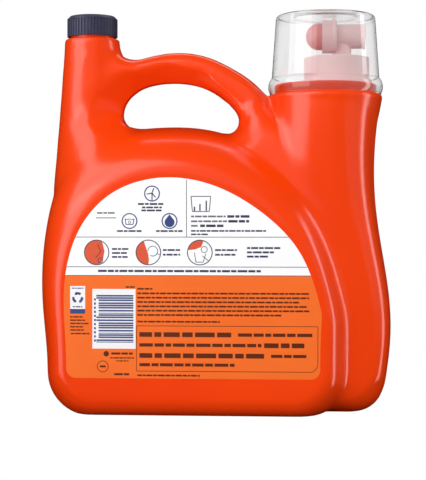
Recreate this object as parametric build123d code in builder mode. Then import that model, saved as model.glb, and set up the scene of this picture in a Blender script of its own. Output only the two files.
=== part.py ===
"""Laundry detergent bottle that lies on its side to pour: a hollow jug with a through-handle, a screwed
vent cap, a press tap on the other shoulder and a clear measuring cup turned over the tap.

Millimetres. X runs along the bottle towards the tap, -Y is the labelled face, Z is up, and the bottle
stands on Z = 0 with its mid-plane, the mould's parting plane, on Y = 0.
"""
import os
from math import cos, hypot, pi, radians, sin, sqrt, tan

from build123d import *

# Jug: wall and label body. The label body swells from the flat label face out to its rim on the mid-plane.
# Both outlines run from the left foot over the arch to the right foot, as (X, Z) pairs that belong together.
WALL = 1.4
HALF_DEPTH = 62.0
FACE_ARCH = [(-108, 37), (-109.5, 94), (-100, 134), (-76, 163.5), (-33, 177), (8, 169), (43, 147.5),
             (70.5, 114), (82, 79), (81.5, 37)]
RIM_ARCH = [(-128.5, 28), (-132.8, 85), (-129.5, 143), (-106, 196), (-36, 215.5), (12, 208.5), (60, 178),
            (89, 127), (102, 77), (104, 28)]
FOOT_ROUND = 17.0
FOOT_TRIM = 1.8
BODY_STATIONS = 9
PUSH_UP_LENGTH = 150.0
PUSH_UP_WIDTH = 62.0
PUSH_UP_ROUND = 28.0
PUSH_UP_DEPTH = 3.0
PUSH_UP_X = -13.0

# Jug: tap column. Each row is height, left X, right X, half depth and squareness of one section.
COLUMN_ROWS = [(0, 61, 127.5, 39, 3.6), (40, 61, 131.4, 39, 3.6), (80, 59, 132.3, 39.5, 3.5),
               (120, 54, 126.6, 40.5, 3.1), (160, 47, 121.2, 41.4, 2.6), (200, 42, 121.1, 42.3, 2.2),
               (240, 41.0, 126.0, 42.5, 2.0)]
COLUMN_POINTS = 10
COLUMN_FOOT_ROUND = 22.0
COLUMN_FOOT_RIGHT = 121.0
COLUMN_FOOT_HALF_DEPTH = 34.1
COLUMN_FOOT_CORNER = 22.0
COLUMN_FOOT_LEAN = 20.0
COLUMN_FLOOR = 2.4
COLUMN_END = 236.0
COLUMN_HOLLOW_END = 237.8

# Jug: vent column, a cone that leans a little outwards and ends in the vent neck.
VENT_X = -96.2
VENT_LOW_X = -100.5
VENT_COLUMN_LOW = 118.0
VENT_COLUMN_TOP = 284.0
VENT_COLUMN_LOW_R = 28.6
VENT_COLUMN_TOP_R = 21.0
VENT_COLUMN_ROUND = 2.5
VENT_NECK_R = 16.8
VENT_NECK_TOP = 298.6
NECK_WALL = 2.2

# Jug: handle, a loop with well-rounded edges that grows thicker towards its roots. Outer edge and grip
# opening as (X, Z) pairs, half depths as (X, half depth) pairs at the top and at the bottom of the loop.
HANDLE_TOP_Z = 290.0
HANDLE_LOW_Z = 185.0
HANDLE_OUTER = [(-93, 277), (-76, 272), (-66.5, 266.8), (-55, 268.5), (-33, 272.5), (-6, 269), (13, 260),
                (26.5, 251.2), (37.8, 240.3), (53, 222)]
HANDLE_ROOTS = [(52, HANDLE_LOW_Z), (-93, HANDLE_LOW_Z)]
GRIP_OPENING = [(-73.3, 227), (-63, 242), (-36, 249.3), (-7, 244.3), (11, 231.5), (18.5, 219.5), (10, 207.5),
                (-34, 212.5), (-62, 213.5)]
HANDLE_DEPTH_TOP = [(-96, 16.0), (-60, 13.5), (-20, 12.5), (55, 12.5)]
HANDLE_DEPTH_LOW = [(-96, 27.0), (-60, 22.0), (-20, 19.0), (55, 19.0)]
HANDLE_ROUND = 9.5

# Jug: deck under the cup, with the ring that the cup snaps on and the tap neck, set off towards the edge.
CUP_X = 83.5
DECK_R = 43.8
DECK_FOOT = 222.0
DECK_FOOT_R = 40.4
DECK_TOP_ROUND = 2.5
DECK_RING_R = 38.9
DECK_RING_TOP = 247.3
DECK_RING_ROUND = 1.6
TAP_X = 92.0
TAP_NECK_R = 21.0
TAP_NECK_TOP = 264.4

# Label film on the flat face.
LABEL_FILM = 0.2
LABEL_MARGIN = 2.0
LABEL_FOOT = 28.5
LABEL_CORNER = 7.0

# Vent cap and its seal disc.
CAP_R = 19.4
CAP_SKIRT_FOOT = 285.4
CAP_TOP_WALL = 1.6
CAP_THREAD_GAP = 0.9
CAP_CHAMFER = 2.2
CAP_RIBS = 48
CAP_GROOVE_R = 0.75
CAP_RIB_TOP = 298.4
LINER = 1.0
LINER_GAP = 0.35

# Tap: gasket, collar and body. The button's axis runs along X.
GASKET = 1.2
COLLAR_R = 24.9
COLLAR_THREAD_GAP = 0.6
COLLAR_PLATE = 2.4
COLLAR_FLANGE_R = 27.0
COLLAR_FLANGE = 2.6
COLLAR_ROUND = 1.0
SEAT_GAP = 0.3
STEM_X = 96.2
STEM_R = 7.0
STEM_BORE_R = 5.0
STEM_GAP = 0.1
STEM_FLANGE_R = 9.4
STEM_FLANGE = 1.5
STEM_TAIL = 4.0
VALVE_AXIS = 284.3
BARREL_R = 9.35
BARREL_BORE_R = 7.7
BARREL_LIP_R = 9.9
BARREL_LIP = 2.0
NOZZLE_END = 113.5
VALVE_SEAT = 105.5
VALVE_SEAT_WALL = 1.5
VALVE_SEAT_BORE_R = 5.6
WING_X = 88.3
WING = 3.7
WING_SPAN = 41.0
WING_HEIGHT = 24.0
WING_ROUND = 1.2
RING_X = 81.0
RING_R = 12.7

# Tap: button and plunger.
BUTTON_X = 68.5
BUTTON_R = 10.2
BUTTON_WALL = 1.4
BUTTON_CROWN = 8.0
BUTTON_SKIRT = 2.3
BUTTON_BOSS_R = 3.6
BUTTON_BOSS = 8.5
BUTTON_SOCKET = 5.0
PLUNGER_R = 2.0
PLUNGER_GAP = 0.05
PLUNGER_DISC_R = 7.2
PLUNGER_DISC = 2.0
SLIDE_GAP = 0.3

# Measuring cup, upside down: mouth below, floor on top.
CUP_WALL = 1.2
CUP_TOP = 300.0
CUP_TOP_R = 37.7
CUP_NECK_R = 41.0
CUP_NECK_Z = 252.5
CUP_LIP_R = 43.6
CUP_LIP_Z = 246.6
CUP_MOUTH_R = 42.4
CUP_ROUND = 3.0
CUP_DIMPLE_R = 23.0
CUP_DIMPLE = 1.0

# Values that follow from those above.
COLUMN_TOP = COLUMN_ROWS[-1][0]
MEAN_ARCH = [((face[0] + rim[0]) / 2, (face[1] + rim[1]) / 2) for face, rim in zip(FACE_ARCH, RIM_ARCH)]
ARCH_STOPS = [0.0]
for start, stop in zip(MEAN_ARCH, MEAN_ARCH[1:]):
    ARCH_STOPS.append(ARCH_STOPS[-1] + hypot(stop[0] - start[0], stop[1] - start[1]))
COLUMN_STOPS = [float(i) for i in range(COLUMN_POINTS + 1)]
CUP_MOUTH_Z = COLUMN_TOP + SEAT_GAP
CAP_INNER_TOP = VENT_NECK_TOP + LINER
CAP_TOP = CAP_INNER_TOP + CAP_TOP_WALL
CAP_BORE_R = VENT_NECK_R + CAP_THREAD_GAP
GASKET_TOP = TAP_NECK_TOP + GASKET
COLLAR_FOOT = DECK_RING_TOP + SEAT_GAP
COLLAR_TOP = GASKET_TOP + COLLAR_PLATE
RING_BORE_R = BUTTON_R + SLIDE_GAP
WING_END = WING_X + WING
BUTTON_SKIRT_END = RING_X + BUTTON_SKIRT
BOSS_END = BUTTON_X + BUTTON_WALL + BUTTON_BOSS
SOCKET_FLOOR = BOSS_END - BUTTON_SOCKET

AXIAL = (Align.CENTER, Align.CENTER, Align.MIN)


def between(a, b, share):
    """The point that lies a share of the way from a to b."""
    return (a[0] + (b[0] - a[0]) * share, a[1] + (b[1] - a[1]) * share)


def drawn_in(points, inset, ends):
    """Outline points moved to the right of their run by the inset; ends gives the first and last way."""
    points = [Vector(*point) for point in points]
    last = len(points) - 1
    moved = []
    for i, point in enumerate(points):
        way = (points[min(i + 1, last)] - points[max(i - 1, 0)]).normalized()
        if i in (0, last):
            way = Vector(*ends[0 if i == 0 else 1])
        moved.append(point + Vector(way.Y, -way.X) * inset)
    return moved


def body_section(y, inset):
    """Closed outline of the label body at one depth, drawn inwards by the inset."""
    depth = HALF_DEPTH - inset
    share = sqrt(max(0.0, 1 - (y / depth) ** 2))
    points = [between(face, rim, share) for face, rim in zip(FACE_ARCH, RIM_ARCH)]
    moved = drawn_in(points, inset, [(0, 1), (0, -1)])
    last = len(points) - 1
    rounding = max(0.0, abs(y) - (depth - FOOT_ROUND))
    foot = FOOT_ROUND - sqrt(FOOT_ROUND**2 - rounding**2) - FOOT_TRIM + inset
    left_round = moved[0].Y - foot
    right_round = moved[last].Y - foot
    with BuildSketch(Plane.XZ.offset(-y)) as section:
        with BuildLine():
            arch = Edge.make_spline(moved, tangents=[(0, 1), (0, -1)], parameters=ARCH_STOPS)
            add(arch)
            right_foot = TangentArc(arch @ 1, (moved[last].X - right_round, foot), tangent=(0, -1))
            base = Line(right_foot @ 1, (moved[0].X + left_round, foot))
            TangentArc(base @ 1, arch @ 0, tangent=(-1, 0))
        make_face()
    return section.sketch


def label_body(inset):
    """Swelling body behind the label: flat face, rounded rim, trimmed flat on the ground."""
    depth = HALF_DEPTH - inset
    turns = [-90 + 180 * i / (BODY_STATIONS - 1) for i in range(BODY_STATIONS)]
    with BuildPart() as body:
        loft(sections=[body_section(depth * sin(radians(turn)), inset) for turn in turns])
        split(bisect_by=Plane.XY.offset(inset), keep=Keep.TOP)
    return body.part


def column_section(z, left, right, half_depth, squareness, inset):
    """One level section of the tap column: a circle at the top, squarer towards the foot."""
    centre = (left + right) / 2
    half_width = (right - left) / 2 - inset
    front = []
    for i in range(COLUMN_POINTS + 1):
        turn = pi - pi * i / COLUMN_POINTS
        along = cos(turn)
        across = sin(turn) if 0 < i < COLUMN_POINTS else 0.0
        reach = (abs(along) ** squareness + across**squareness) ** (-1 / squareness)
        front.append((centre + half_width * reach * along, -(half_depth - inset) * reach * across))
    back = [(x, -y) for x, y in front]
    with BuildSketch(Plane.XY.offset(z)) as section:
        with BuildLine():
            add(Edge.make_spline(front, tangents=[(0, -1), (0, 1)], parameters=COLUMN_STOPS))
            add(Edge.make_spline(back, tangents=[(0, 1), (0, -1)], parameters=COLUMN_STOPS))
        make_face()
    return section.sketch


def tap_column(inset, floor, end):
    """Column under the tap: a loft with a rounded foot, cut off between the heights floor and end."""
    top = COLUMN_ROWS[-1][0]
    lean = radians(COLUMN_FOOT_LEAN)
    drift = floor * tan(lean) - inset / cos(lean)
    with BuildPart() as foot:
        with BuildSketch(Plane.XY.offset(floor)) as foot_plan:
            half_depth = COLUMN_FOOT_HALF_DEPTH + drift
            with Locations((COLUMN_FOOT_RIGHT + drift, 0)):
                Rectangle(COLUMN_FOOT_RIGHT, 2 * half_depth, align=(Align.MAX, Align.CENTER))
            fillet(foot_plan.vertices().group_by(Axis.X)[-1], COLUMN_FOOT_CORNER)
        extrude(amount=top, taper=-COLUMN_FOOT_LEAN)
        fillet(foot.edges().group_by(Axis.Z)[0].sort_by(Axis.X)[1:], COLUMN_FOOT_ROUND - inset)
    sections = []
    for z, left, right, half_depth, squareness in COLUMN_ROWS:
        level = min(max(z, inset), top - inset)
        sections.append(column_section(level, left, right, half_depth, squareness, inset))
    with BuildPart() as column:
        loft(sections=sections)
        add(foot.part, mode=Mode.INTERSECT)
        split(bisect_by=Plane.XY.offset(end), keep=Keep.BOTTOM)
    return column.part


def vent_column(inset):
    """Leaning cone under the vent neck."""
    with BuildPart() as column:
        with BuildSketch(Plane((VENT_LOW_X, 0, VENT_COLUMN_LOW))):
            Circle(VENT_COLUMN_LOW_R - inset)
        with BuildSketch(Plane((VENT_X, 0, VENT_COLUMN_TOP - inset))):
            Circle(VENT_COLUMN_TOP_R - inset)
        loft()
        fillet(column.edges().group_by(Axis.Z)[-1], VENT_COLUMN_ROUND - inset)
    return column.part


def handle_plan(z, half_depths, inset):
    """Plan of the handle at one height: slim over the grip, thicker at the vent column."""
    front = [(x, inset - depth) for x, depth in half_depths]
    back = [(x, -y) for x, y in front]
    with BuildSketch(Plane.XY.offset(z)) as plan:
        with BuildLine():
            near = Spline(front)
            far = Spline(back)
            Line(near @ 0, far @ 0)
            Line(near @ 1, far @ 1)
        make_face()
    return plan.sketch


def handle_loop(inset):
    """Handle around the grip opening with all its long edges rounded."""
    front = Plane.XZ.offset(HALF_DEPTH)
    with BuildSketch(front) as opening:
        with BuildLine():
            ring = [GRIP_OPENING[-1]] + GRIP_OPENING + [GRIP_OPENING[0]]
            Spline(drawn_in(ring, -inset, [(0, 1), (0, 1)])[1:-1], periodic=True)
        make_face()
    with BuildSketch(front) as loop:
        with BuildLine():
            outer = Spline(drawn_in(HANDLE_OUTER, inset, [(1, 0), (1, -1)]))
            Polyline([outer @ 1] + HANDLE_ROOTS + [outer @ 0])
        make_face()
    low_plan = handle_plan(HANDLE_LOW_Z, HANDLE_DEPTH_LOW, inset)
    top_plan = handle_plan(HANDLE_TOP_Z, HANDLE_DEPTH_TOP, inset)
    with BuildPart() as handle:
        extrude(loop.sketch, amount=-2 * HALF_DEPTH)
        extrude(opening.sketch, amount=-2 * HALF_DEPTH, mode=Mode.SUBTRACT)
        loft(sections=[low_plan, top_plan], mode=Mode.INTERSECT)
        fillet(handle.edges().sort_by(SortBy.LENGTH)[-4:], HANDLE_ROUND - inset)
    return handle.part


# Jug: the four forms run into each other.
solid_forms = [label_body(0), tap_column(0, 0, COLUMN_END), vent_column(0), handle_loop(0)]
hollow_forms = [
    label_body(WALL), tap_column(WALL, COLUMN_FLOOR, COLUMN_HOLLOW_END), vent_column(WALL), handle_loop(WALL)
]
with BuildSketch() as push_up:
    with Locations((PUSH_UP_X, 0)):
        RectangleRounded(PUSH_UP_LENGTH, PUSH_UP_WIDTH, PUSH_UP_ROUND)
with BuildSketch() as push_up_floor:
    with Locations((PUSH_UP_X, 0)):
        RectangleRounded(PUSH_UP_LENGTH + 2 * WALL, PUSH_UP_WIDTH + 2 * WALL, PUSH_UP_ROUND + WALL)
with BuildPart() as hollow:
    for form in hollow_forms:
        add(form)
    extrude(push_up_floor.sketch, amount=PUSH_UP_DEPTH + WALL, mode=Mode.SUBTRACT)
with BuildPart() as deck:
    with Locations((CUP_X, 0, DECK_FOOT)):
        Cone(DECK_FOOT_R, DECK_R, COLUMN_TOP - DECK_FOOT, align=AXIAL)
    fillet(deck.edges().group_by(Axis.Z)[-1], DECK_TOP_ROUND)
with BuildPart() as jug:
    for form in solid_forms:
        add(form)
    extrude(push_up.sketch, amount=PUSH_UP_DEPTH, mode=Mode.SUBTRACT)
    add(deck.part)
    add(hollow.part, mode=Mode.SUBTRACT)
    with Locations((CUP_X, 0, COLUMN_TOP - 2 * WALL)):
        Cylinder(DECK_RING_R - WALL, 2 * WALL, align=AXIAL, mode=Mode.SUBTRACT)
    with Locations((VENT_X, 0, VENT_COLUMN_TOP - 2 * WALL)):
        Cylinder(VENT_NECK_R - NECK_WALL, 2 * WALL, align=AXIAL, mode=Mode.SUBTRACT)

# The bottle is one moulding. It is kept as two halves that meet on the mould's parting plane, the ring with
# the tap neck, and the vent neck, because collision follows the walls of an open piece better.
with BuildPart() as bottle_front:
    add(jug.part)
    split(bisect_by=Plane.XZ, keep=Keep.TOP)
with BuildPart() as bottle_back:
    add(jug.part)
    split(bisect_by=Plane.XZ, keep=Keep.BOTTOM)
with BuildPart() as bottle_deck:
    with Locations((CUP_X, 0, COLUMN_TOP)):
        Cylinder(DECK_RING_R, DECK_RING_TOP - COLUMN_TOP, align=AXIAL)
    fillet(bottle_deck.edges().group_by(Axis.Z)[-1], DECK_RING_ROUND)
    with Locations((CUP_X, 0, COLUMN_TOP)):
        Cylinder(DECK_RING_R - WALL, DECK_RING_TOP - COLUMN_TOP - WALL, align=AXIAL, mode=Mode.SUBTRACT)
    with Locations((TAP_X, 0, DECK_RING_TOP - WALL)):
        Cylinder(TAP_NECK_R, TAP_NECK_TOP - DECK_RING_TOP + WALL, align=AXIAL)
        Cylinder(TAP_NECK_R - NECK_WALL, TAP_NECK_TOP, align=AXIAL, mode=Mode.SUBTRACT)
with BuildPart() as bottle_vent_neck:
    with Locations((VENT_X, 0, VENT_COLUMN_TOP)):
        Cylinder(VENT_NECK_R, VENT_NECK_TOP - VENT_COLUMN_TOP, align=AXIAL)
        Cylinder(VENT_NECK_R - NECK_WALL, VENT_NECK_TOP, align=AXIAL, mode=Mode.SUBTRACT)

# Label film on the flat face.
with BuildPart() as back_label:
    with BuildSketch(Plane.XZ.offset(HALF_DEPTH)) as film:
        with BuildLine():
            arch = Spline(drawn_in(FACE_ARCH, LABEL_MARGIN, [(0, 1), (0, -1)]), tangents=[(0, 1), (0, -1)])
            right_side = Line(arch @ 1, ((arch @ 1).X, LABEL_FOOT))
            foot = Line(right_side @ 1, ((arch @ 0).X, LABEL_FOOT))
            Line(foot @ 1, arch @ 0)
        make_face()
        fillet(film.vertices().group_by(Axis.Y)[0], LABEL_CORNER)
    extrude(amount=LABEL_FILM)

# Vent cap: ribbed skirt, plain chamfered crown, open below. The seal disc lies under its crown.
with BuildPart() as vent_cap:
    with Locations((VENT_X, 0, CAP_SKIRT_FOOT)):
        Cylinder(CAP_R, CAP_TOP - CAP_SKIRT_FOOT, align=AXIAL)
    chamfer(vent_cap.edges().group_by(Axis.Z)[-1], CAP_CHAMFER)
    with Locations((VENT_X, 0, CAP_SKIRT_FOOT)):
        Cylinder(CAP_BORE_R, CAP_INNER_TOP - CAP_SKIRT_FOOT, align=AXIAL, mode=Mode.SUBTRACT)
        with PolarLocations(CAP_R, CAP_RIBS):
            Cylinder(CAP_GROOVE_R, CAP_RIB_TOP - CAP_SKIRT_FOOT, align=AXIAL, mode=Mode.SUBTRACT)
with BuildPart() as vent_cap_liner:
    with Locations((VENT_X, 0, VENT_NECK_TOP)):
        Cylinder(CAP_BORE_R - LINER_GAP, LINER, align=AXIAL)

# Tap: gasket on the neck's rim, screw collar over it.
with BuildPart() as tap_gasket:
    with Locations((TAP_X, 0, TAP_NECK_TOP)):
        Cylinder(TAP_NECK_R, GASKET, align=AXIAL)
        Cylinder(TAP_NECK_R - NECK_WALL, GASKET, align=AXIAL, mode=Mode.SUBTRACT)
with BuildPart() as tap_collar:
    with Locations((TAP_X, 0, COLLAR_FOOT)):
        Cylinder(COLLAR_R, COLLAR_TOP - COLLAR_FOOT, align=AXIAL)
    fillet(tap_collar.edges().group_by(Axis.Z)[-1], COLLAR_ROUND)
    with Locations((TAP_X, 0, COLLAR_FOOT)):
        Cylinder(COLLAR_FLANGE_R, COLLAR_FLANGE, align=AXIAL)
        Cylinder(TAP_NECK_R + COLLAR_THREAD_GAP, GASKET_TOP - COLLAR_FOOT, align=AXIAL, mode=Mode.SUBTRACT)
    with Locations((STEM_X, 0, COLLAR_FOOT)):
        Cylinder(STEM_R + STEM_GAP, COLLAR_TOP - COLLAR_FOOT, align=AXIAL, mode=Mode.SUBTRACT)

# Tap body: inlet stem with its flange on the collar, valve barrel with its seat, finger wings, button ring.
with BuildPart() as tap_body:
    with BuildSketch(Plane((WING_X, 0, VALVE_AXIS), x_dir=(0, 1, 0), z_dir=(1, 0, 0))):
        SlotOverall(WING_SPAN, WING_HEIGHT)
    extrude(amount=WING)
    fillet(tap_body.faces().filter_by(Axis.X).edges(), WING_ROUND)
    with Locations((STEM_X, 0, COLLAR_TOP - STEM_TAIL)):
        Cylinder(STEM_R, VALVE_AXIS - COLLAR_TOP + STEM_TAIL, align=AXIAL)
    with Locations((STEM_X, 0, COLLAR_TOP)):
        Cylinder(STEM_FLANGE_R, STEM_FLANGE, align=AXIAL)
    with BuildSketch(Plane((WING_X, 0, VALVE_AXIS), z_dir=(1, 0, 0))):
        Circle(BARREL_R)
    extrude(amount=NOZZLE_END - WING_X)
    with BuildSketch(Plane((NOZZLE_END, 0, VALVE_AXIS), z_dir=(1, 0, 0))):
        Circle(BARREL_LIP_R)
    extrude(amount=-BARREL_LIP)
    with BuildSketch(Plane((WING_X, 0, VALVE_AXIS), z_dir=(1, 0, 0))):
        Circle(RING_R)
    extrude(amount=RING_X - WING_X)
    with BuildSketch(Plane((WING_X, 0, VALVE_AXIS), z_dir=(1, 0, 0))):
        Circle(RING_BORE_R)
    extrude(amount=RING_X - WING_X, mode=Mode.SUBTRACT)
    with BuildSketch(Plane((NOZZLE_END, 0, VALVE_AXIS), z_dir=(1, 0, 0))):
        Circle(BARREL_BORE_R)
    extrude(amount=VALVE_SEAT - NOZZLE_END, mode=Mode.SUBTRACT)
    with BuildSketch(Plane((VALVE_SEAT, 0, VALVE_AXIS), z_dir=(1, 0, 0))):
        Circle(VALVE_SEAT_BORE_R)
    extrude(amount=-VALVE_SEAT_WALL, mode=Mode.SUBTRACT)
    with BuildSketch(Plane((VALVE_SEAT - VALVE_SEAT_WALL, 0, VALVE_AXIS), z_dir=(1, 0, 0))):
        Circle(BARREL_BORE_R)
    extrude(amount=WING_END - VALVE_SEAT + VALVE_SEAT_WALL, mode=Mode.SUBTRACT)
    with BuildSketch(Plane((WING_X, 0, VALVE_AXIS), z_dir=(1, 0, 0))):
        Circle(PLUNGER_R + SLIDE_GAP)
    extrude(amount=WING, mode=Mode.SUBTRACT)
    with Locations((STEM_X, 0, COLLAR_TOP - STEM_TAIL)):
        Cylinder(STEM_BORE_R, VALVE_AXIS - COLLAR_TOP + STEM_TAIL, align=AXIAL, mode=Mode.SUBTRACT)

# Tap button: hollow elastomer dome with a boss inside that holds the plunger's end.
press_axis = Axis((0, 0, VALVE_AXIS), (1, 0, 0))
dome_profiles = []
for inset in (0, BUTTON_WALL):
    with BuildSketch(Plane((0, 0, VALVE_AXIS), x_dir=(1, 0, 0), z_dir=(0, -1, 0))) as dome:
        with BuildLine():
            side = Line((BUTTON_SKIRT_END, BUTTON_R - inset), (BUTTON_X + BUTTON_CROWN, BUTTON_R - inset))
            crown = TangentArc((BUTTON_X + inset, 0), side @ 1, tangent=(0, 1))
            Polyline(crown @ 0, (BUTTON_SKIRT_END, 0), side @ 0)
        make_face()
    dome_profiles.append(dome.sketch)
with BuildPart() as tap_button:
    revolve(dome_profiles[0], axis=press_axis)
    revolve(dome_profiles[1], axis=press_axis, mode=Mode.SUBTRACT)
    with BuildSketch(Plane((BOSS_END, 0, VALVE_AXIS), z_dir=(1, 0, 0))):
        Circle(BUTTON_BOSS_R)
    extrude(amount=BUTTON_X + BUTTON_WALL - BOSS_END)
    with BuildSketch(Plane((BOSS_END, 0, VALVE_AXIS), z_dir=(1, 0, 0))):
        Circle(PLUNGER_R + PLUNGER_GAP)
    extrude(amount=-BUTTON_SOCKET, mode=Mode.SUBTRACT)

# Tap plunger: rod from the button's socket to the closing disc, which lies against the valve seat.
with BuildPart() as tap_plunger:
    with BuildSketch(Plane((SOCKET_FLOOR, 0, VALVE_AXIS), z_dir=(1, 0, 0))):
        Circle(PLUNGER_R)
    extrude(amount=VALVE_SEAT - SOCKET_FLOOR)
    with BuildSketch(Plane((VALVE_SEAT, 0, VALVE_AXIS), z_dir=(1, 0, 0))):
        Circle(PLUNGER_DISC_R)
    extrude(amount=PLUNGER_DISC)

# Measuring cup: one thin wall turned about its axis, with a rolled mouth and a dimple in its floor.
with BuildPart() as measuring_cup:
    with BuildSketch(Plane.XZ.move(Location((CUP_X, 0, 0)))) as wall:
        with BuildLine():
            lip = ThreePointArc((CUP_MOUTH_R, CUP_MOUTH_Z), (CUP_LIP_R, CUP_LIP_Z), (CUP_NECK_R, CUP_NECK_Z))
            outside = Polyline(
                lip @ 1, (CUP_TOP_R, CUP_TOP), (CUP_DIMPLE_R, CUP_TOP), (CUP_DIMPLE_R, CUP_TOP - CUP_DIMPLE),
                (0, CUP_TOP - CUP_DIMPLE),
            )
            inside = Polyline(
                (CUP_NECK_R - CUP_WALL, CUP_NECK_Z), (CUP_TOP_R - CUP_WALL, CUP_TOP - CUP_WALL),
                (CUP_DIMPLE_R + CUP_WALL, CUP_TOP - CUP_WALL),
                (CUP_DIMPLE_R + CUP_WALL, CUP_TOP - CUP_WALL - CUP_DIMPLE),
                (0, CUP_TOP - CUP_WALL - CUP_DIMPLE),
            )
            Line(outside @ 1, inside @ 1)
            inner_lip = ThreePointArc(
                (CUP_MOUTH_R - CUP_WALL, CUP_MOUTH_Z), (CUP_LIP_R - CUP_WALL, CUP_LIP_Z), inside @ 0
            )
            Line(lip @ 0, inner_lip @ 0)
        make_face()
        crown = wall.vertices().filter_by(lambda corner: corner.Y > CUP_TOP - CUP_DIMPLE)
        fillet(crown.sort_by(Axis.X)[-1], CUP_ROUND)
    revolve(axis=Axis((CUP_X, 0, 0), (0, 0, 1)))

# Each piece is written as its own node.
pieces = {
    "bottle_front": bottle_front, "bottle_back": bottle_back, "bottle_deck": bottle_deck,
    "bottle_vent_neck": bottle_vent_neck, "back_label": back_label, "vent_cap": vent_cap,
    "vent_cap_liner": vent_cap_liner, "tap_gasket": tap_gasket, "tap_collar": tap_collar,
    "tap_body": tap_body, "tap_button": tap_button, "tap_plunger": tap_plunger,
    "measuring_cup": measuring_cup,
}
os.makedirs("parts", exist_ok=True)
for node, piece in pieces.items():
    piece.part.label = node
    export_step(piece.part, f"parts/{node}.step")
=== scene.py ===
from math import atan2, cos, hypot, pi, radians, sin

import bmesh
import bpy
import numpy as np
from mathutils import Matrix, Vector


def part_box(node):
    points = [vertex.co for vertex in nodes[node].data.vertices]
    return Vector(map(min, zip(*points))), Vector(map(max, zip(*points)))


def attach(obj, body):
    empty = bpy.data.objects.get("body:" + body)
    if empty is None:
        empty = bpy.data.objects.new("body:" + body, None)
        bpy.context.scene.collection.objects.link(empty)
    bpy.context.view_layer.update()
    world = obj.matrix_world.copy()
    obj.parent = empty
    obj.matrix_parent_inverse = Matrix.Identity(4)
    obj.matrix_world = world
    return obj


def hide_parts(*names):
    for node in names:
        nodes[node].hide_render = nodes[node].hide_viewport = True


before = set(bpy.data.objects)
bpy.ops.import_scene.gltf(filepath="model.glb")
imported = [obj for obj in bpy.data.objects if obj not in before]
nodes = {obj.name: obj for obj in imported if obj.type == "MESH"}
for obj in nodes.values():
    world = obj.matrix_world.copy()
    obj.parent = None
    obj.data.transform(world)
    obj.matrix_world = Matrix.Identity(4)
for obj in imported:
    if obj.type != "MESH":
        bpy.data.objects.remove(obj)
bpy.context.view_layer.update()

# Bottle: blow-moulded high-density polyethylene, coloured through. Where the solids' forms meet, the real
# moulding runs over in wide soft fillets, so its outside is taken from the two halves, meshed evenly, and
# its inner corners are filled. The cup's seat, the vent neck's seat, the label face and the base stay.
MM = 0.001
EVEN_MESH = 1.8 * MM
SEAM = 0.02 * MM
MOUTHS = [(-96.2 * MM, 14.6 * MM), (83.5 * MM, 37.5 * MM)]
MOUTH_REACH = 5 * SEAM


def in_mouth(face):
    """Whether a face lines one of the two round mouths, or lies on the parting plane."""
    if all(abs(corner.co.y) < SEAM for corner in face.verts):
        return True
    for x, radius in MOUTHS:
        if all(abs(hypot(corner.co.x - x, corner.co.y) - radius) < MOUTH_REACH for corner in face.verts):
            return True
    return False


def put_in_scene(name, data):
    """A new object at the origin that shows this mesh, lamp or camera."""
    piece = bpy.data.objects.new(name, data)
    bpy.context.collection.objects.link(piece)
    return piece


def read_values(items, name, width, kind):
    """One named value of many vertices or edges, as rows of an array."""
    values = np.empty(width * len(items), dtype=kind)
    items.foreach_get(name, values)
    return values.reshape(-1, width)


def move_corners(mesh, spots):
    """Put the corners of a mesh at these spots."""
    mesh.vertices.foreach_set("co", spots.astype(np.float32).ravel())
    mesh.update()


shape = bmesh.new()
for node in ("bottle_front", "bottle_back"):
    shape.from_mesh(nodes[node].data)
bmesh.ops.remove_doubles(shape, verts=shape.verts, dist=SEAM)
bmesh.ops.delete(shape, geom=[face for face in shape.faces if in_mouth(face)], context="FACES")
outside = {min(shape.verts, key=lambda corner: corner.co.z)}
fresh = list(outside)
while fresh:
    corner = fresh.pop()
    for line in corner.link_edges:
        other = line.other_vert(corner)
        if other not in outside:
            outside.add(other)
            fresh.append(other)
bmesh.ops.delete(shape, geom=[corner for corner in shape.verts if corner not in outside], context="VERTS")
rims = [line for line in shape.edges if line.is_boundary]
bmesh.ops.holes_fill(shape, edges=rims, sides=0)
skin_mesh = bpy.data.meshes.new("bottle_skin")
shape.to_mesh(skin_mesh)
shape.free()
skin = put_in_scene("bottle_skin", skin_mesh)
evener = skin.modifiers.new("evener", "REMESH")
evener.mode = "VOXEL"
evener.voxel_size = EVEN_MESH
skin_mesh = bpy.data.meshes.new_from_object(skin.evaluated_get(bpy.context.evaluated_depsgraph_get()))
skin.modifiers.clear()
skin.data = skin_mesh
count = len(skin_mesh.vertices)
spots = read_values(skin_mesh.vertices, "co", 3, np.float32)
links = read_values(skin_mesh.edges, "vertices", 2, np.int32)
neighbours = np.bincount(links.ravel(), minlength=count)

# Handle root: towards the tap column the moulding's handle grows deeper and runs into the label body, up to
# one slanting line on the column. Half depths in millimetres over X and Z, laid over the even mesh.
ROOT_LINE_Z, ROOT_LINE_X = [134, 163, 235], [75, 72.7, 41.1]
ROOT_DEPTH, ROOT_FROM, ROOT_RISE = 40, 160, 80
ROOT_PAST_LINE, ROOT_LOW, ROOT_BELOW = 1.4, 150, 2.0
GRIP_END, GRIP_CLEAR, GRIP_RUN = (8, 220), 11, 18
EDGE_SPOT, EDGE_INWARDS, EDGE_ROUND = (26.5, 251.2), (-0.741, -0.672), 12
x, y, z = spots.T / MM
root = ROOT_DEPTH * np.sqrt(1 - np.clip((z - ROOT_FROM) / ROOT_RISE, 0, 1) ** 2)
root -= ROOT_PAST_LINE * np.maximum(x - np.interp(z, ROOT_LINE_Z, ROOT_LINE_X), 0)
root -= ROOT_BELOW * np.maximum(ROOT_LOW - z, 0)
beside = (np.hypot(x - GRIP_END[0], z - GRIP_END[1]) - GRIP_CLEAR) / GRIP_RUN
root *= np.sqrt(1 - (1 - np.clip(beside, 0, 1)) ** 2)
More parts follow.
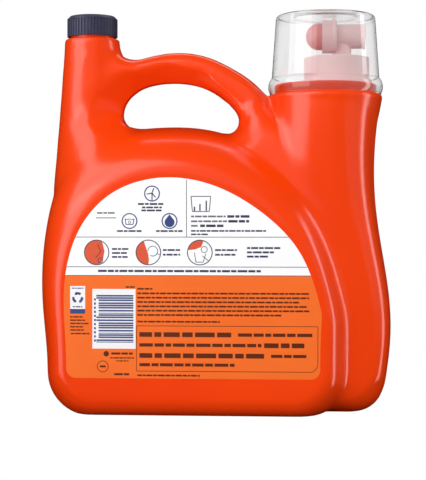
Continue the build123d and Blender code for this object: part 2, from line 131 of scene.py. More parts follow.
inwards = EDGE_INWARDS[0] * (x - EDGE_SPOT[0]) + EDGE_INWARDS[1] * (z - EDGE_SPOT[1])
root *= np.sqrt(1 - (1 - np.clip(inwards / EDGE_ROUND, 0, 1)) ** 2)
root[x < GRIP_END[0]] = 0

# Left shoulder: the vent column and the label body run into each other in one broad slope, rounded towards
# the bottle's left edge. It fades out to the right, and below the top of the label.
SHOULDER_SPOT, SHOULDER_DEPTH, SHOULDER_MOST = (-95, 226), 27, 57
SHOULDER_ALONG_X, SHOULDER_ALONG_Z = 0.25, -0.53
SHOULDER_LEFT, SHOULDER_LEAN, SHOULDER_ROUND = -121.7, 0.07, 44
SHOULDER_END, SHOULDER_RUN = -86, 30
SHOULDER_LOW, SHOULDER_FADE = 148, 20
shoulder = SHOULDER_DEPTH + SHOULDER_ALONG_X * (x - SHOULDER_SPOT[0])
shoulder += SHOULDER_ALONG_Z * (z - SHOULDER_SPOT[1])
shoulder = np.clip(shoulder, 0, SHOULDER_MOST)
beside = (x - SHOULDER_LEFT - SHOULDER_LEAN * (z - SHOULDER_SPOT[1])) / SHOULDER_ROUND
shoulder *= np.sqrt(1 - (1 - np.clip(beside, 0, 1)) ** 2)
past = np.clip((x - SHOULDER_END) / SHOULDER_RUN, 0, 1)
shoulder *= (1 - past * past * (3 - 2 * past)) * np.clip((z - SHOULDER_LOW) / SHOULDER_FADE, 0, 1)

# Grip opening: its upper and left edge is a wide, soft chamfer that the fingers lie against. The half depth
# grows with the distance from the opening's edge, and the chamfer runs out below and to the right.
GRIP = np.array([(-73.3, 227), (-63, 242), (-36, 249.3), (-7, 244.3), (11, 231.5), (18.5, 219.5)])
CHAMFER_EDGE, CHAMFER_SLOPE, CHAMFER_CURVE = 3.5, 0.62, 0.02
CHAMFER_LOW, CHAMFER_LOW_RUN = 222, 14
CHAMFER_RIGHT, CHAMFER_RIGHT_RUN = -12, 26
CHAMFER_OUT = 40
away = np.full(count, np.inf)
for (x0, z0), (x1, z1) in zip(GRIP, GRIP[1:]):
    part = np.clip(((x - x0) * (x1 - x0) + (z - z0) * (z1 - z0)) / ((x1 - x0) ** 2 + (z1 - z0) ** 2), 0, 1)
    away = np.minimum(away, np.hypot(x - x0 - part * (x1 - x0), z - z0 - part * (z1 - z0)))
chamfer = CHAMFER_EDGE + CHAMFER_SLOPE * away + CHAMFER_CURVE * away ** 2
chamfer += CHAMFER_OUT * np.maximum((CHAMFER_LOW - z) / CHAMFER_LOW_RUN, 0) ** 2
chamfer += CHAMFER_OUT * np.maximum((x - CHAMFER_RIGHT) / CHAMFER_RIGHT_RUN, 0) ** 2
half = np.minimum(np.maximum(np.abs(y), np.maximum(root, shoulder)), chamfer)
spots[:, 1] = np.copysign(half, y) * MM
move_corners(skin_mesh, spots)

# Inner corners of the moulding, filled step by step along the surface's own directions. The first steps
# smooth all of it, the calm ones only the left shoulder, and the last ones only fill. Flat faces and seats
# stay. Each step goes half of the way to the mean of a corner's neighbours.
FIRST_STEPS, CALM_STEPS, FILL_STEPS = 12, 90, 70
CALM_SPOT, CALM_REACH, CALM_FADE = (-92 * MM, 192 * MM), (34 * MM, 52 * MM), 1.5
FACING_GAIN, FACING_FROM = 2, 0.5
LABEL_FACE_FROM, LABEL_FACE_FREE = 58 * MM, 52 * MM
BASE_FREE = 12 * MM
DECK_FROM, DECK_FREE, DECK_LEFT = 228 * MM, 222 * MM, 38 * MM
VENT_FROM, VENT_FREE = 280 * MM, 274 * MM
x, y, z = spots.T
free = np.clip((LABEL_FACE_FROM - np.abs(y)) / (LABEL_FACE_FROM - LABEL_FACE_FREE), 0, 1)
free *= np.clip(z / BASE_FREE, 0, 1)
free *= np.where(x > DECK_LEFT, np.clip((DECK_FROM - z) / (DECK_FROM - DECK_FREE), 0, 1), 1)
free *= np.clip((VENT_FROM - z) / (VENT_FROM - VENT_FREE), 0, 1)
calm = CALM_FADE - np.hypot((x - CALM_SPOT[0]) / CALM_REACH[0], (z - CALM_SPOT[1]) / CALM_REACH[1])
calm = np.clip(calm, 0, 1)
for step in range(FIRST_STEPS + CALM_STEPS + FILL_STEPS):
    ways = read_values(skin_mesh.vertices, "normal", 3, np.float32)
    mean = np.empty_like(spots)
    for axis in range(3):
        mean[:, axis] = np.bincount(links[:, 0], spots[links[:, 1], axis], count)
        mean[:, axis] += np.bincount(links[:, 1], spots[links[:, 0], axis], count)
    lift = (((mean / neighbours[:, None]) - spots) * ways).sum(1) * free / 2
    if step >= FIRST_STEPS + CALM_STEPS:
        lift = np.maximum(lift, 0)
    elif step >= FIRST_STEPS:
        lift *= calm * np.clip(FACING_GAIN * np.abs(ways[:, 1]) - FACING_FROM, 0, 1)
    spots = spots + lift[:, None] * ways
    move_corners(skin_mesh, spots)
skin_mesh.polygons.foreach_set("use_smooth", np.ones(len(skin_mesh.polygons), dtype=bool))
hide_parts("bottle_front", "bottle_back")
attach(skin, "bottle")

# Bottle plastic: waxy gloss, with a fine grain and slow waves left by the mould and a thin parting line.
# No finish on the bottle is quite even, so one node group gives each of them a noise between two tones, and
# the same noise as a height for its relief.
PARTING_LINE = 0.6 * MM
mottle = bpy.data.node_groups.new("mottle", "ShaderNodeTree")
for name in ("Scale", "Detail", "From", "To"):
    mottle.interface.new_socket(name, in_out="INPUT", socket_type="NodeSocketFloat")
for name in ("Dark", "Light"):
    mottle.interface.new_socket(name, in_out="INPUT", socket_type="NodeSocketColor")
mottle.interface.new_socket("Color", in_out="OUTPUT", socket_type="NodeSocketColor")
mottle.interface.new_socket("Height", in_out="OUTPUT", socket_type="NodeSocketFloat")
asked = mottle.nodes.new("NodeGroupInput")
given = mottle.nodes.new("NodeGroupOutput")
place = mottle.nodes.new("ShaderNodeTexCoord")
noise = mottle.nodes.new("ShaderNodeTexNoise")
share = mottle.nodes.new("ShaderNodeMapRange")
tones = mottle.nodes.new("ShaderNodeMix")
tones.data_type = "RGBA"
mottle.links.new(place.outputs["Object"], noise.inputs["Vector"])
mottle.links.new(asked.outputs["Scale"], noise.inputs["Scale"])
mottle.links.new(asked.outputs["Detail"], noise.inputs["Detail"])
mottle.links.new(noise.outputs["Fac"], share.inputs["Value"])
mottle.links.new(asked.outputs["From"], share.inputs["From Min"])
mottle.links.new(asked.outputs["To"], share.inputs["From Max"])
mottle.links.new(share.outputs["Result"], tones.inputs["Factor"])
mottle.links.new(asked.outputs["Dark"], tones.inputs["A"])
mottle.links.new(asked.outputs["Light"], tones.inputs["B"])
mottle.links.new(tones.outputs["Result"], given.inputs["Color"])
mottle.links.new(noise.outputs["Fac"], given.inputs["Height"])


def mottled(tree, scale, detail=2.0, dark=(0, 0, 0), light=(1, 1, 1), start=0.0, end=1.0):
    """The mottle group, placed in a material with that material's values."""
    placed = tree.nodes.new("ShaderNodeGroup")
    placed.node_tree = mottle
    values = {"Scale": scale, "Detail": detail, "From": start, "To": end}
    values |= {"Dark": (*dark, 1), "Light": (*light, 1)}
    for name, value in values.items():
        placed.inputs[name].default_value = value
    return placed


def relief(tree, height, strength, depth, under=None):
    """The normal of a bump made from a height, laid over another bump's normal where one is given."""
    bump = tree.nodes.new("ShaderNodeBump")
    bump.inputs["Strength"].default_value = strength
    bump.inputs["Distance"].default_value = depth
    tree.links.new(height, bump.inputs["Height"])
    if under is not None:
        tree.links.new(under, bump.inputs["Normal"])
    return bump.outputs["Normal"]


def new_finish(name, roughness=0.5):
    """A new material, with its node tree and its shader."""
    material = bpy.data.materials.new(name)
    material.use_nodes = True
    shader = material.node_tree.nodes["Principled BSDF"]
    shader.inputs["Roughness"].default_value = roughness
    return material, material.node_tree, shader


def dress(mesh, material):
    """Give a whole mesh one material."""
    mesh.materials.clear()
    mesh.materials.append(material)


orange, tree, shader = new_finish("orange_hdpe", 0.22)
shader.inputs["IOR"].default_value = 1.5
shader.inputs["Subsurface Weight"].default_value = 0.1
shader.inputs["Subsurface Radius"].default_value = (0.004, 0.0012, 0.0006)
waves = mottled(tree, 9.0, 2.0, (0.87, 0.046, 0.0006), (0.93, 0.056, 0.0012), 0.3, 0.7)
grain = mottled(tree, 900.0, 3.0)
place = tree.nodes.new("ShaderNodeTexCoord")
parts = tree.nodes.new("ShaderNodeSeparateXYZ")
aside = tree.nodes.new("ShaderNodeMath")
aside.operation = "ABSOLUTE"
seam = tree.nodes.new("ShaderNodeMapRange")
seam.inputs["From Max"].default_value = PARTING_LINE
seam.inputs["To Min"].default_value = 1.0
seam.inputs["To Max"].default_value = 0.0
tree.links.new(waves.outputs["Color"], shader.inputs["Base Color"])
tree.links.new(place.outputs["Object"], parts.inputs["Vector"])
tree.links.new(parts.outputs["Y"], aside.inputs[0])
tree.links.new(aside.outputs["Value"], seam.inputs["Value"])
ridge = relief(tree, seam.outputs["Result"], 0.5, 0.0003)
slow = relief(tree, waves.outputs["Height"], 0.05, 0.004, ridge)
fine = relief(tree, grain.outputs["Height"], 0.04, 0.0003, slow)
tree.links.new(fine, shader.inputs["Normal"])
for mesh in (skin_mesh, nodes["bottle_deck"].data, nodes["bottle_vent_neck"].data):
    dress(mesh, orange)

# Label film: thin printed plastic, pressed on the flat face of the bottle. Its upper field is white and its
# lower field a paler orange than the bottle. Its front lies just inside the solid's front, under the print.
FIELD_EDGE = 103.7 * MM
FILM_SINK = 0.06 * MM
film_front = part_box("back_label")[0][1] + FILM_SINK
film_mesh = nodes["back_label"].data.copy()
for vertex in film_mesh.vertices:
    vertex.co.y = max(vertex.co.y, film_front)
film = put_in_scene("label_film", film_mesh)
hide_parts("back_label")
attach(film, "bottle")
printed, tree, shader = new_finish("printed_film", 0.35)
lower = mottled(tree, 30.0, 2.0, (0.90, 0.140, 0.010), (0.97, 0.172, 0.018))
place = tree.nodes.new("ShaderNodeTexCoord")
parts = tree.nodes.new("ShaderNodeSeparateXYZ")
above = tree.nodes.new("ShaderNodeMath")
above.operation = "GREATER_THAN"
above.inputs[1].default_value = FIELD_EDGE
fields = tree.nodes.new("ShaderNodeMix")
fields.data_type = "RGBA"
fields.inputs["B"].default_value = (0.98, 0.98, 0.99, 1)
tree.links.new(place.outputs["Object"], parts.inputs["Vector"])
tree.links.new(parts.outputs["Z"], above.inputs[0])
tree.links.new(above.outputs["Value"], fields.inputs["Factor"])
tree.links.new(lower.outputs["Color"], fields.inputs["A"])
tree.links.new(fields.outputs["Result"], shader.inputs["Base Color"])
dress(film_mesh, printed)

# Label print: ink on the film, laid out in millimetres of X and Z. Small print is shown as word-long bars,
# the pictograms as plain generic shapes, the bar code as bars of no meaning.
PRINT_SINK = FILM_SINK / 3
print_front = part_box("back_label")[0][1] + PRINT_SINK
INKS = {
    "navy_ink": (0.035, 0.055, 0.21), "grey_ink": (0.15, 0.15, 0.18), "text_ink": (0.035, 0.04, 0.09),
    "brown_ink": (0.11, 0.018, 0.002), "orange_ink": (0.72, 0.09, 0.03), "white_ink": (0.95, 0.95, 0.97),
}
NAVY, GREY, TEXT, BROWN, ORANGE, WHITE = range(6)
INK_THIN, INK_FULL = 0.85, 1.15
ROUND = 40
OVERPRINT = 0.012 * MM
WORD_SHORT, WORD_SPREAD, WORD_GAP = 1.4, 3.2, 0.5
SCATTER = 0.618
ink = bmesh.new()


def patch(points, tone, lift=0):
    """One flat patch of ink through (X, Z) points that run anticlockwise as seen from the front."""
    face = ink.faces.new([ink.verts.new((x * MM, print_front - lift, z * MM)) for x, z in points])
    face.material_index = tone


def bar(left, right, low, high, tone):
    """An upright rectangle of ink."""
    patch([(left, low), (right, low), (right, high), (left, high)], tone, OVERPRINT * (tone != WHITE))


def words(left, right, middle, height, tone):
    """A line of small print as word-long bars with gaps between them, all in shares of its height."""
    x, step = left, int(abs(left * 7 + middle * 13))
    while x < right - height:
        length = height * (WORD_SHORT + WORD_SPREAD * ((step * SCATTER) % 1))
        bar(x, min(x + length, right), middle - height / 2, middle + height / 2, tone)
        x += length + height * WORD_GAP
        step += 1


def stroke(points, line, tone):
    """A thin line of ink from point to point."""
    for (x0, z0), (x1, z1) in zip(points, points[1:]):
        way = atan2(z1 - z0, x1 - x0)
        dx, dz = line / 2 * sin(way), line / 2 * cos(way)
        corners = [(x0 + dx, z0 - dz), (x1 + dx, z1 - dz), (x1 - dx, z1 + dz), (x0 - dx, z0 + dz)]
        patch(corners, tone, OVERPRINT)


def arc(x, z, radius, start, turn):
    """Points along an arc, angles in degrees."""
    count = max(3, round(ROUND * abs(turn) / 360))
    ways = [radians(start + turn * i / count) for i in range(count + 1)]
    return [(x + radius * cos(way), z + radius * sin(way)) for way in ways]


# White field: grey rules, three small pictograms with captions, a measuring cup and its lines of text.
RULE = 0.55
stroke([(-17.5, 131.7), (-17.5, 173.4)], RULE, GREY)
stroke([(-100.3, 131.6), (57.0, 131.6)], RULE, GREY)
stroke([(-106.3, 109.9), (70.0, 109.9)], RULE, GREY)
stroke([(-106.0, 103.6), (73.6, 103.6)], RULE, GREY)
PICTOGRAM_R = 5.4
for x, z in [(-42.7, 163.3), (-59.2, 143.3), (-29.9, 143.3)]:
    stroke(arc(x, z, PICTOGRAM_R, 0, 360), 0.9, NAVY)
stroke([(-42.7, 158.4), (-42.7, 163.6)], 0.8, TEXT)
for way in (70, 190, 310):
    stroke([(-42.7, 163.6), arc(-42.7, 163.6, 4.0, way, 1)[0]], 0.8, TEXT)
stroke([(-62.4, 144.9), (-61.8, 140.8), (-56.6, 140.8), (-56.0, 144.9)], 0.6, TEXT)
stroke([(-62.4, 144.9), (-60.8, 144.2), (-59.2, 144.9), (-57.6, 144.2), (-56.0, 144.9)], 0.5, TEXT)
stroke(arc(-59.2, 142.5, 0.9, 0, 360), 0.4, TEXT)
patch(arc(-29.9, 142.4, 3.6, 150, 240) + [(-29.9, 148.2)], NAVY)
words(-53.0, -32.5, 155.7, 1.4, TEXT)
words(-50.0, -35.5, 153.2, 1.3, TEXT)
words(-50.5, -35.0, 151.0, 1.3, TEXT)
words(-68.4, -50.0, 136.0, 1.3, TEXT)
words(-39.8, -20.4, 136.0, 1.3, TEXT)
words(-83.1, -69.1, 149.2, 1.2, GREY)
stroke([(-83.8, 145.6), (-69.1, 145.6)], 0.7, GREY)
stroke([(-14.2, 161.2), (-13.2, 150.2), (-0.9, 150.2), (0.1, 161.2), (-14.2, 161.2)], 0.6, TEXT)
for x, height in [(-12.2, 3.2), (-8.2, 5.0), (-3.6, 7.5)]:
    bar(x, x + 1.0, 150.6, 150.6 + height, TEXT)
words(-14.2, 11.0, 146.6, 1.3, GREY)
words(12.2, 30.1, 146.6, 1.8, TEXT)
words(-14.2, 12.0, 143.1, 1.3, GREY)
words(13.0, 28.0, 143.1, 1.8, TEXT)
words(-14.2, -9.0, 139.8, 1.3, GREY)
words(-7.5, 9.8, 139.8, 1.8, TEXT)
words(-14.2, 40.3, 136.1, 1.2, TEXT)
words(-14.2, -0.4, 133.6, 1.1, TEXT)

# Row of three round pictures with short texts, and the long line of print under them.
PICTURE_R = 9.0
for x in (-83.4, -45.4, -7.8):
    stroke(arc(x, 120.4, PICTURE_R, 0, 360), 0.7, TEXT)
patch(arc(-83.4, 120.4, PICTURE_R - 0.3, 62, 226) + [(-78.6, 115.5), (-77.6, 121.5)], ORANGE)
stroke([(-82.6, 126.6), (-80.4, 121.0), (-84.0, 116.6)], 0.5, BROWN)
stroke(arc(-80.6, 114.6, 1.7, 0, 360), 0.5, TEXT)
sleeve = [(-45.0, 115.0), (-45.6, 119.5), (-47.4, 124.8)]
patch(arc(-45.4, 120.4, PICTURE_R - 0.3, 112, 158) + sleeve, ORANGE)
stroke(arc(-42.2, 121.4, 3.6, -120, 300), 0.5, NAVY)
stroke([(-39.0, 119.6), (-36.9, 118.6)], 0.5, TEXT)
patch(arc(-7.8, 120.4, PICTURE_R - 0.3, 72, 96) + [(-11.5, 122.6), (-6.8, 124.4)], ORANGE)
stroke([(-11.8, 120.4), (-10.6, 113.4), (-5.4, 113.4), (-3.4, 119.6)], 0.5, TEXT)
stroke(arc(-4.6, 122.6, 2.2, 0, 360), 0.5, TEXT)
stroke([(-6.0, 118.0), (-1.6, 114.4)], 0.5, TEXT)
for row in range(3):
    words(-72.1, -58.6 - row, 122.9 - 2.9 * row, 1.3, TEXT)
    words(26.5, 51.8 - 5 * row, 123.7 - 3.1 * row, 1.4, TEXT)
for row in range(2):
    words(-34.7, -22.2, 122.2 - 3.4 * row, 1.3, TEXT)
    words(3.3, 19.2, 122.2 - 3.4 * row, 1.3, TEXT)
words(-82.4, 37.4, 106.9, 1.6, TEXT)

# Orange field: a small white panel with a generic loop of arrows, a bar code and lines of print.
bar(-103.0, -91.9, 79.0, 95.8, WHITE)
bar(-103.0, -91.9, 75.6, 79.0, NAVY)
words(-101.8, -93.2, 94.2, 0.8, NAVY)
words(-101.0, -94.0, 80.6, 0.9, NAVY)
for way in (90, 210, 330):
    stroke(arc(-97.4, 87.2, 3.3, way - 40, 62), 1.9, NAVY)
    tip = arc(-97.4, 87.2, 3.3, way + 46, 1)[0]
    base = arc(-97.4, 87.2, 4.7, way + 18, 1)[0], arc(-97.4, 87.2, 1.9, way + 18, 1)[0]
    patch([base[0], tip, base[1]], NAVY, OVERPRINT)
for row in range(5):
    words(-103.0, -93.5 + 2 * (row % 3), 73.2 - 2.4 * row, 1.0, BROWN)
words(-102.5, -88.5, 61.0, 1.0, BROWN)
bar(-86.6, -54.8, 50.1, 93.7, WHITE)
CODE_LOW, CODE_TOP, CODE_BAR, CODE_GAP = 54.6, 89.0, 0.6, 0.45
z, step = CODE_LOW, 0
while z < CODE_TOP:
    thick = CODE_BAR + CODE_BAR * ((step * SCATTER) % 1 > 0.5) + CODE_BAR * ((step * 0.382) % 1 > 0.65)
    long = step % 9 in (0, 1)
    bar(-83.6 if long else -82.0, -56.4, z, z + thick, NAVY)
    z += thick + CODE_GAP + 0.5 * ((step * 0.734) % 1 > 0.5)
    step += 1
for row in range(11):
    bar(-85.4, -84.0, 55.2 + 3.0 * row, 56.8 + 3.0 * row, NAVY)
patch(arc(-76.4, 46.4, 2.0, 0, 360)[:-1], BROWN)
words(-72.6, -57.0, 46.6, 1.5, BROWN)
words(-73.5, -56.0, 43.4, 0.9, BROWN)
words(-69.0, -60.0, 41.2, 0.8, BROWN)
stroke(arc(-79.0, 37.1, 4.0, 0, 360), 0.45, BROWN)
words(-81.0, -76.8, 37.1, 1.4, BROWN)
words(-70.6, -59.6, 31.5, 1.5, BROWN)
words(-62.0, -55.5, 95.2, 1.1, BROWN)
words(-53.5, -42.5, 93.9, 1.2, BROWN)
for row in range(6):
    words(-53.5, 71.5 - 7 * (row % 3 == 2) - 12 * (row == 5), 90.6 - 3.15 * row, 1.25, BROWN)
words(-53.5, 6.9, 70.0, 1.2, BROWN)
FRAME_LEFT, FRAME_RIGHT, FRAME_LOW, FRAME_TOP, FRAME_ROUND = -54.1, 77.8, 33.9, 66.9, 6.0
corner = arc(FRAME_RIGHT - FRAME_ROUND, FRAME_LOW + FRAME_ROUND, FRAME_ROUND, 0, -90)
frame_line = [(FRAME_LEFT, FRAME_LOW), (FRAME_LEFT, FRAME_TOP), (FRAME_RIGHT, FRAME_TOP)]
stroke(frame_line + corner + frame_line[:1], 0.4, BROWN)
words(-52.0, 17.5, 60.6, 3.4, BROWN)
words(20.0, 76.0, 60.6, 2.4, BROWN)
words(-52.0, 37.0, 53.0, 2.4, BROWN)
words(39.0, 68.0, 53.0, 3.4, BROWN)
words(-52.0, 42.0, 45.3, 3.4, BROWN)
words(44.0, 69.5, 45.3, 2.2, BROWN)
words(-52.0, 17.5, 38.6, 2.2, BROWN)
words(-53.5, -7.7, 30.8, 1.2, BROWN)

print_mesh = bpy.data.meshes.new("label_print")
ink.to_mesh(print_mesh)
ink.free()
for name, colour in INKS.items():
    material, tree, shader = new_finish(name, 0.4)
    thin = [INK_THIN * value for value in colour]
    full = [min(1.0, INK_FULL * value) for value in colour]
    specks = mottled(tree, 1500.0, 2.0, thin, full)
    tree.links.new(specks.outputs["Color"], shader.inputs["Base Color"])
    print_mesh.materials.append(material)
label_print = put_in_scene("label_print", print_mesh)
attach(label_print, "bottle")

# Vent cap: injection-moulded navy polypropylene with a ribbed skirt, screwed on the vent neck. Its satin
# surface has a fine scuffed grain.
navy, tree, shader = new_finish("navy_polypropylene", 0.42)
shader.inputs["Specular IOR Level"].default_value = 0.3
scuffs = mottled(tree, 240.0, 4.0, (0.030, 0.030, 0.062), (0.050, 0.050, 0.092))
tree.links.new(scuffs.outputs["Color"], shader.inputs["Base Color"])
tree.links.new(relief(tree, scuffs.outputs["Height"], 0.05, 0.0003), shader.inputs["Normal"])
dress(nodes["vent_cap"].data, navy)

# Tap and seals: the collar and body are pale moulded polypropylene, slightly see-through, with a soft sheen,
# and the button is red elastomer. The white plunger, the black rubber gasket and the cap's white foam disc
# are mostly hidden. All share one recipe: dark tone, light tone, roughness, and how much light soaks in.
MOULDED = {
    "tap_collar": ((0.88, 0.62, 0.62), (0.92, 0.70, 0.70), 0.35, 0.25),
    "tap_body": ((0.82, 0.56, 0.56), (0.88, 0.64, 0.64), 0.35, 0.25),
    "tap_button": ((0.72, 0.22, 0.22), (0.78, 0.27, 0.27), 0.4, 0.15),
    "tap_plunger": ((0.80, 0.80, 0.80), (0.88, 0.88, 0.88), 0.4, 0.1),
    "tap_gasket": ((0.02, 0.02, 0.02), (0.04, 0.04, 0.04), 0.6, 0.0),
    "vent_cap_liner": ((0.80, 0.80, 0.78), (0.88, 0.88, 0.86), 0.7, 0.1),
}
for node, (dark, light, roughness, soak) in MOULDED.items():
    material, tree, shader = new_finish(node + "_finish", roughness)
    shader.inputs["Subsurface Weight"].default_value = soak
    shader.inputs["Subsurface Radius"].default_value = (0.003, 0.002, 0.002)
    cloud = mottled(tree, 90.0, 3.0, dark, light)
    tree.links.new(cloud.outputs["Color"], shader.inputs["Base Color"])
    tree.links.new(relief(tree, cloud.outputs["Height"], 0.04, 0.0003), shader.inputs["Normal"])
    dress(nodes[node].data, material)

# Measuring cup: clear polypropylene, injection-moulded with a thin even wall, snapped over the deck's ring.
# It is glassy but not quite: a faint haze, slow waves in the wall, painted shade that greys the walls where
# they are seen edge-on, and a thicker, darker bead at its mouth.
BEAD_LOW, BEAD_TOP = 0.2440, 0.2470
clear, tree, shader = new_finish("clear_polypropylene")
shader.inputs["Transmission Weight"].default_value = 1.0
shader.inputs["IOR"].default_value = 1.47
waves = mottled(tree, 40.0)
place = tree.nodes.new("ShaderNodeTexCoord")
slant = tree.nodes.new("ShaderNodeLayerWeight")
slant.inputs["Blend"].default_value = 0.5
facing = tree.nodes.new("ShaderNodeSeparateXYZ")
level = tree.nodes.new("ShaderNodeMath")
level.operation = "ABSOLUTE"
upright = tree.nodes.new("ShaderNodeMath")
upright.operation = "SUBTRACT"
upright.inputs[0].default_value = 1.0
# Painted shade: the wall's colour turns dark grey where it is seen edge-on, except on its level top,
# standing in for the dark surroundings seen through the wall's edges.
edge = tree.nodes.new("ShaderNodeMath")
edge.operation = "MULTIPLY"
edges = tree.nodes.new("ShaderNodeValToRGB")
edges.color_ramp.elements[0].position = 0.62
edges.color_ramp.elements[0].color = (0.94, 0.935, 0.935, 1)
edges.color_ramp.elements[1].position = 0.9
edges.color_ramp.elements[1].color = (0.35, 0.35, 0.37, 1)
parts = tree.nodes.new("ShaderNodeSeparateXYZ")
bead = tree.nodes.new("ShaderNodeMapRange")
bead.inputs["From Min"].default_value = BEAD_LOW
bead.inputs["From Max"].default_value = BEAD_TOP
bead.inputs["To Min"].default_value = 0.8
thick = tree.nodes.new("ShaderNodeMix")
thick.data_type = "RGBA"
thick.blend_type = "MULTIPLY"
thick.inputs["Factor"].default_value = 1.0
haze = tree.nodes.new("ShaderNodeMapRange")
haze.inputs["To Min"].default_value = 0.03
haze.inputs["To Max"].default_value = 0.08
paths = tree.nodes.new("ShaderNodeLightPath")
passing = tree.nodes.new("ShaderNodeMath")
passing.operation = "MAXIMUM"
through = tree.nodes.new("ShaderNodeBsdfTransparent")
through.inputs["Color"].default_value = (0.87, 0.87, 0.87, 1)
blend = tree.nodes.new("ShaderNodeMixShader")
tree.links.new(place.outputs["Normal"], facing.inputs["Vector"])
tree.links.new(facing.outputs["Z"], level.inputs[0])
tree.links.new(level.outputs["Value"], upright.inputs[1])
tree.links.new(slant.outputs["Facing"], edge.inputs[0])
tree.links.new(upright.outputs["Value"], edge.inputs[1])
tree.links.new(edge.outputs["Value"], edges.inputs["Fac"])
tree.links.new(place.outputs["Object"], parts.inputs["Vector"])
tree.links.new(parts.outputs["Z"], bead.inputs["Value"])
tree.links.new(edges.outputs["Color"], thick.inputs["A"])
tree.links.new(bead.outputs["Result"], thick.inputs["B"])
tree.links.new(thick.outputs["Result"], shader.inputs["Base Color"])
tree.links.new(waves.outputs["Height"], haze.inputs["Value"])
tree.links.new(haze.outputs["Result"], shader.inputs["Roughness"])
tree.links.new(relief(tree, waves.outputs["Height"], 0.03, 0.001), shader.inputs["Normal"])
tree.links.new(paths.outputs["Is Shadow Ray"], passing.inputs[0])
tree.links.new(paths.outputs["Is Diffuse Ray"], passing.inputs[1])
tree.links.new(passing.outputs["Value"], blend.inputs["Fac"])
tree.links.new(shader.outputs["BSDF"], blend.inputs[1])
tree.links.new(through.outputs["BSDF"], blend.inputs[2])
tree.links.new(blend.outputs["Shader"], tree.nodes["Material Output"].inputs["Surface"])
dress(nodes["measuring_cup"].data, clear)

# Camera: level with the bottle's middle, a little to the tap's side, far enough for a flat perspective.
IMAGE_HEIGHT = 480
FOCAL_PIXELS = 1397.0
CAMERA_DISTANCE = 1.076
CAMERA_TURN = radians(4.0)
CAMERA_HEIGHT = 0.1404
AIM_SIDE_PIXELS = 3.5
AIM_DOWN_PIXELS = 15.0
camera_data = bpy.data.cameras.new("camera")
camera_data.sensor_fit = "VERTICAL"
camera_data.sensor_height = 24.0
camera_data.lens = FOCAL_PIXELS * camera_data.sensor_height / IMAGE_HEIGHT
camera = put_in_scene("camera", camera_data)
camera.location = (CAMERA_DISTANCE * sin(CAMERA_TURN), -CAMERA_DISTANCE * cos(CAMERA_TURN), CAMERA_HEIGHT)
tilt = pi / 2 - AIM_DOWN_PIXELS / FOCAL_PIXELS
camera.rotation_euler = (tilt, 0, CAMERA_TURN + AIM_SIDE_PIXELS / FOCAL_PIXELS)
bpy.context.scene.camera = camera

# Light: soft boxes left, right and behind the top only draw their bands on the gloss. A box in front, weak
# fills left, right and behind, and the white room only light the colours, evenly. The room shows behind the
# bottle and through the cup, but not in the gloss.
ROOM_LEVEL = 0.53
world = bpy.data.worlds.new("studio")
bpy.context.scene.world = world
world.use_nodes = True
world.cycles_visibility.glossy = False
tree = world.node_tree
background = tree.nodes["Background"]
background.inputs["Color"].default_value = (1, 1, 1, 1)
paths = tree.nodes.new("ShaderNodeLightPath")
seen = tree.nodes.new("ShaderNodeMath")
seen.operation = "MAXIMUM"
level = tree.nodes.new("ShaderNodeMapRange")
level.inputs["To Min"].default_value = ROOM_LEVEL
tree.links.new(paths.outputs["Is Camera Ray"], seen.inputs[0])
tree.links.new(paths.outputs["Is Transmission Ray"], seen.inputs[1])
tree.links.new(seen.outputs["Value"], level.inputs["Value"])
tree.links.new(level.outputs["Result"], background.inputs["Strength"])
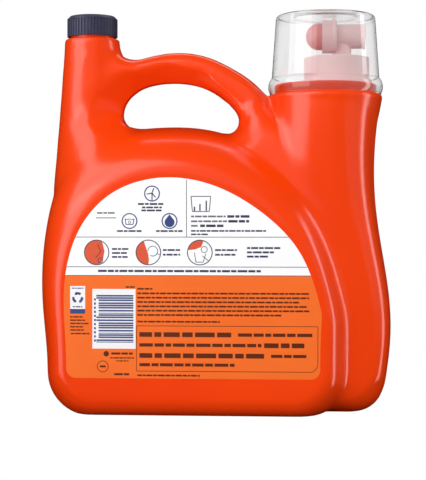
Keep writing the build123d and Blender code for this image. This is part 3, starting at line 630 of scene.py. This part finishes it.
# Each lamp: name, place, width and height, power, whether it lights colours, whether it shows in the gloss.
LIGHTS = [
    ("left_strip", (-0.82, -0.74, 0.22), (0.8, 0.9), 6.3, False, True),
    ("left_top_box", (-0.70, -0.55, 0.84), (1.5, 0.8), 9.8, False, True),
    ("right_strip", (1.10, 0.04, 0.2), (0.24, 1.3), 4.9, False, True),
    ("back_box", (0.0, 0.5, 1.12), (1.2, 0.3), 2.5, False, True),
    ("front_box", (-0.25, -1.25, 0.8), (1.6, 1.0), 13.4, True, False),
    ("left_fill", (-1.0, -0.5, 0.1), (0.8, 0.5), 4.6, True, False),
    ("right_fill", (1.0, -0.55, 0.2), (0.6, 0.8), 3.8, True, False),
    ("back_fill", (0.3, 1.3, 0.4), (1.6, 1.0), 5.0, True, False),
]
MIDDLE = Vector((0, 0, 0.14))
for name, spot, size, power, lights_colour, lights_gloss in LIGHTS:
    lamp = bpy.data.lights.new(name, "AREA")
    lamp.shape = "RECTANGLE"
    lamp.size, lamp.size_y = size
    lamp.energy = power
    holder = put_in_scene(name, lamp)
    holder.location = spot
    holder.rotation_euler = (MIDDLE - Vector(spot)).to_track_quat("-Z", "Y").to_euler()
    holder.visible_diffuse = lights_colour
    holder.visible_glossy = lights_gloss
    holder.visible_transmission = False

# Floor: a pale sheet of paper under the bottle. The camera sees it as nearly pure white, and it keeps a
# trace of the bottle's shadow.
SEEN_WHITE, SEEN_LEVEL = 0.98, 1.015
FLOOR_HALF = 8.0
floor_mesh = bpy.data.meshes.new("floor")
shape = bmesh.new()
bmesh.ops.create_grid(shape, x_segments=2, y_segments=2, size=FLOOR_HALF)
shape.to_mesh(floor_mesh)
shape.free()
floor = put_in_scene("floor", floor_mesh)
floor.visible_glossy = False
paper, tree, shader = new_finish("floor_paper", 0.9)
paper.cycles.emission_sampling = "NONE"
shader.inputs["Base Color"].default_value = (0.22, 0.22, 0.22, 1)
paths = tree.nodes.new("ShaderNodeLightPath")
seen = tree.nodes.new("ShaderNodeMath")
seen.operation = "MAXIMUM"
share = tree.nodes.new("ShaderNodeMath")
share.operation = "MULTIPLY"
share.inputs[1].default_value = SEEN_WHITE
glow = tree.nodes.new("ShaderNodeEmission")
glow.inputs["Strength"].default_value = SEEN_LEVEL
blend = tree.nodes.new("ShaderNodeMixShader")
tree.links.new(paths.outputs["Is Camera Ray"], seen.inputs[0])
tree.links.new(paths.outputs["Is Transmission Ray"], seen.inputs[1])
tree.links.new(seen.outputs["Value"], share.inputs[0])
tree.links.new(share.outputs["Value"], blend.inputs["Fac"])
tree.links.new(shader.outputs["BSDF"], blend.inputs[1])
tree.links.new(glow.outputs["Emission"], blend.inputs[2])
tree.links.new(blend.outputs["Shader"], tree.nodes["Material Output"].inputs["Surface"])
dress(floor_mesh, paper)
bpy.context.scene.view_settings.view_transform = "Standard"
